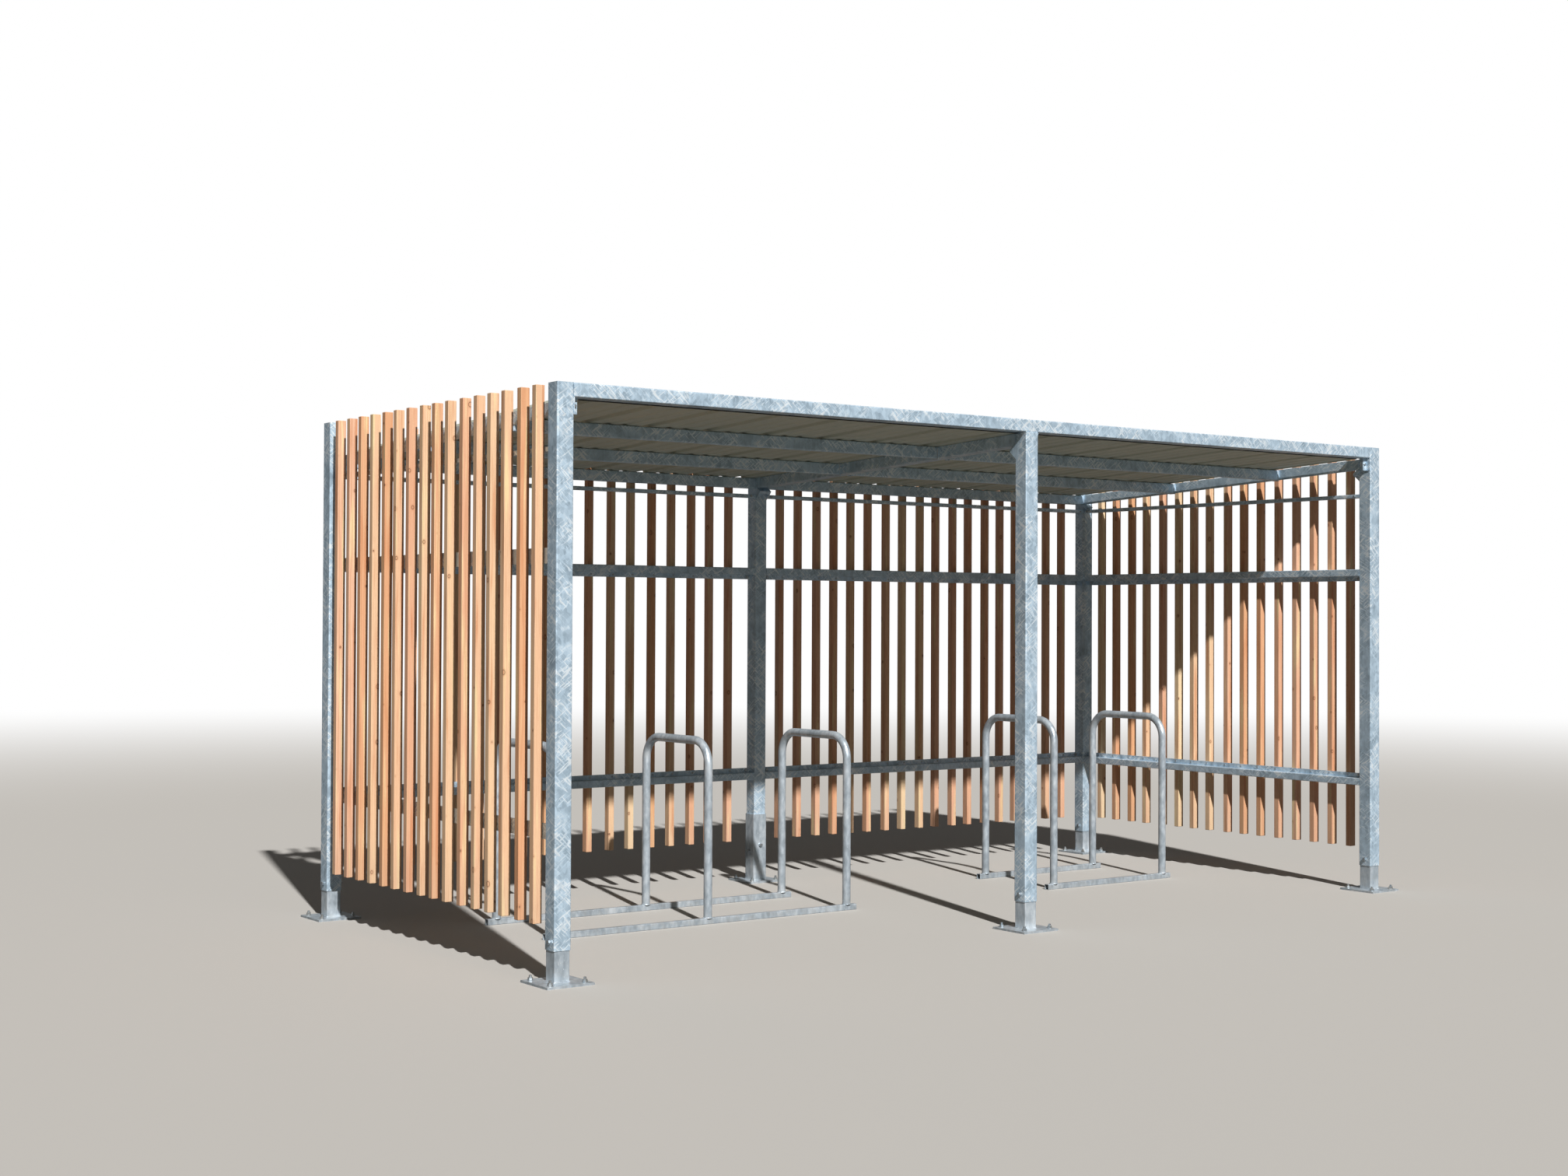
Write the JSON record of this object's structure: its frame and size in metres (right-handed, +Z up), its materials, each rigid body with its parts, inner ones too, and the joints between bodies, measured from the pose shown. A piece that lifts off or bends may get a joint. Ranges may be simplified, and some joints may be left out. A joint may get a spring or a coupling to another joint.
{
  "type": "bike shelter",
  "caption": "Open-fronted bike shelter with a galvanised portal frame, upright timber slat walls, a ribbed sheet roof falling to the back and bent tube bike hoops.",
  "frame": {"origin": "on the ground, at the middle of the plan", "axes": "+X to the right along the open front, +Y to the back, +Z up"},
  "size_m": [5.465, 2.51, 2.493],
  "materials": {
    "galvanised_frame": "hot-dip galvanised, spangled, with runs",
    "galvanised_rails": "hot-dip galvanised",
    "galvanised_rack": "hot-dip galvanised tube",
    "roof_sheet": "coated trapezoidal sheet",
    "timber": "planed softwood with knots"
  },
  "bodies": {
    "root": {"post_front_left": "galvanised_frame", "post_front_middle": "galvanised_frame", "post_front_right": "galvanised_frame", "post_back_left": "galvanised_frame", "post_back_middle": "galvanised_frame", "post_back_right": "galvanised_frame", "foot_front_left": "galvanised_frame", "foot_front_middle": "galvanised_frame", "foot_front_right": "galvanised_frame", "foot_back_left": "galvanised_frame", "foot_back_middle": "galvanised_frame", "foot_back_right": "galvanised_frame", "rafter_left": "galvanised_frame", "rafter_middle": "galvanised_frame", "rafter_right": "galvanised_frame", "front_beam_left": "galvanised_frame", "front_beam_right": "galvanised_frame", "back_beam_left": "galvanised_frame", "back_beam_right": "galvanised_frame", "purlin_front_left": "galvanised_frame", "purlin_front_right": "galvanised_frame", "purlin_rear_left": "galvanised_frame", "purlin_rear_right": "galvanised_frame", "left_top_rail": "galvanised_rails", "left_mid_rail": "galvanised_rails", "left_low_rail": "galvanised_rails", "right_top_rail": "galvanised_rails", "right_mid_rail": "galvanised_rails", "right_low_rail": "galvanised_rails", "back_top_rails": "galvanised_rails", "back_mid_rails": "galvanised_rails", "back_low_rails": "galvanised_rails", "roof_sheet_left": "roof_sheet", "roof_sheet_right": "roof_sheet", "left_slats": "timber", "right_slats": "timber", "back_left_slats": "timber", "back_right_slats": "timber", "hoop_left_outer": "galvanised_rack", "hoop_left_middle": "galvanised_rack", "hoop_left_inner": "galvanised_rack", "hoop_right_inner": "galvanised_rack", "hoop_right_outer": "galvanised_rack", "rack_rails_left": "galvanised_rack", "rack_rails_right": "galvanised_rack"}
  },
  "joints": []
}
